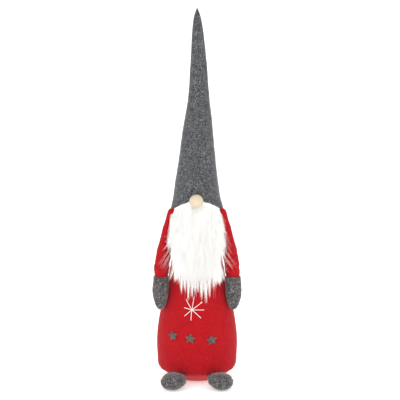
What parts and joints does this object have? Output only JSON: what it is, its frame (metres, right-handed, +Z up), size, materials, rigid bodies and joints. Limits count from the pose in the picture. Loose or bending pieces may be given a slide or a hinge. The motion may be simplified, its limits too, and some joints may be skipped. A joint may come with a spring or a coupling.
{
  "type": "tomte gnome figurine",
  "caption": "Tall stuffed felt gnome with a bendable cone hat, long fur beard, round nose, hanging arms with mittens and splayed feet, standing on a flat weighted base.",
  "frame": {"origin": "centre of the flat patch under the body that the figure stands on", "axes": "+Z up through the hat's tip, the gnome faces -Y, its left arm is on +X"},
  "size_m": [0.1438, 0.145, 0.6],
  "materials": {
    "red_felt": "brushed wool felt",
    "grey_felt": "mottled wool felt",
    "hat_felt": "dark mottled wool felt",
    "star_felt": "cut wool felt",
    "white_fur": "long-pile faux fur",
    "bead_wood": "sanded pale wood",
    "white_yarn": "twisted yarn",
    "stuffing": "polyester fibre",
    "ballast_cloth": "plain cotton bag",
    "seam_thread": "sewing thread"
  },
  "bodies": {
    "torso": {"body_cover": "red_felt", "base_panel": "red_felt", "ballast_bag": "ballast_cloth", "body_filling": "stuffing", "hat_cover_lower": "hat_felt", "hat_filling_lower": "stuffing", "nose_bead": "bead_wood", "beard_fur": "white_fur", "right_shoulder_thread": "seam_thread", "left_shoulder_thread": "seam_thread", "right_foot_thread": "seam_thread", "left_foot_thread": "seam_thread", "right_star": "star_felt", "middle_star": "star_felt", "left_star": "star_felt", "snowflake_yarn": "white_yarn"},
    "hat_top": {"hat_cover_upper": "hat_felt", "hat_filling_upper": "stuffing"},
    "right_arm": {"right_sleeve": "red_felt", "right_mitten": "grey_felt", "right_arm_filling": "stuffing"},
    "left_arm": {"left_sleeve": "red_felt", "left_mitten": "grey_felt", "left_arm_filling": "stuffing"},
    "right_foot": {"right_foot_cover": "grey_felt", "right_foot_filling": "stuffing"},
    "left_foot": {"left_foot_cover": "grey_felt", "left_foot_filling": "stuffing"}
  },
  "joints": [
    {"name": "hat_bend", "type": "hinge", "parent": "torso", "child": "hat_top", "pos_m": [0, 0, 0.44], "axis": [0, 1, 0], "range_deg": [-60, 60], "stiffness_Nm_per_rad": 0.12},
    {"name": "right_arm_lift", "type": "hinge", "parent": "torso", "child": "right_arm", "pos_m": [-0.0395, -0.014, 0.272], "axis": [0, 1, 0], "range_deg": [0, 90]},
    {"name": "left_arm_lift", "type": "hinge", "parent": "torso", "child": "left_arm", "pos_m": [0.0395, -0.014, 0.272], "axis": [0, -1, 0], "range_deg": [0, 90]},
    {"name": "right_toe_lift", "type": "hinge", "parent": "torso", "child": "right_foot", "pos_m": [-0.0185, -0.0455, 0.014], "axis": [-0.788, 0.6157, 0], "range_deg": [0, 25]},
    {"name": "left_toe_lift", "type": "hinge", "parent": "torso", "child": "left_foot", "pos_m": [0.0185, -0.0455, 0.014], "axis": [-0.788, -0.6157, 0], "range_deg": [0, 25]}
  ]
}
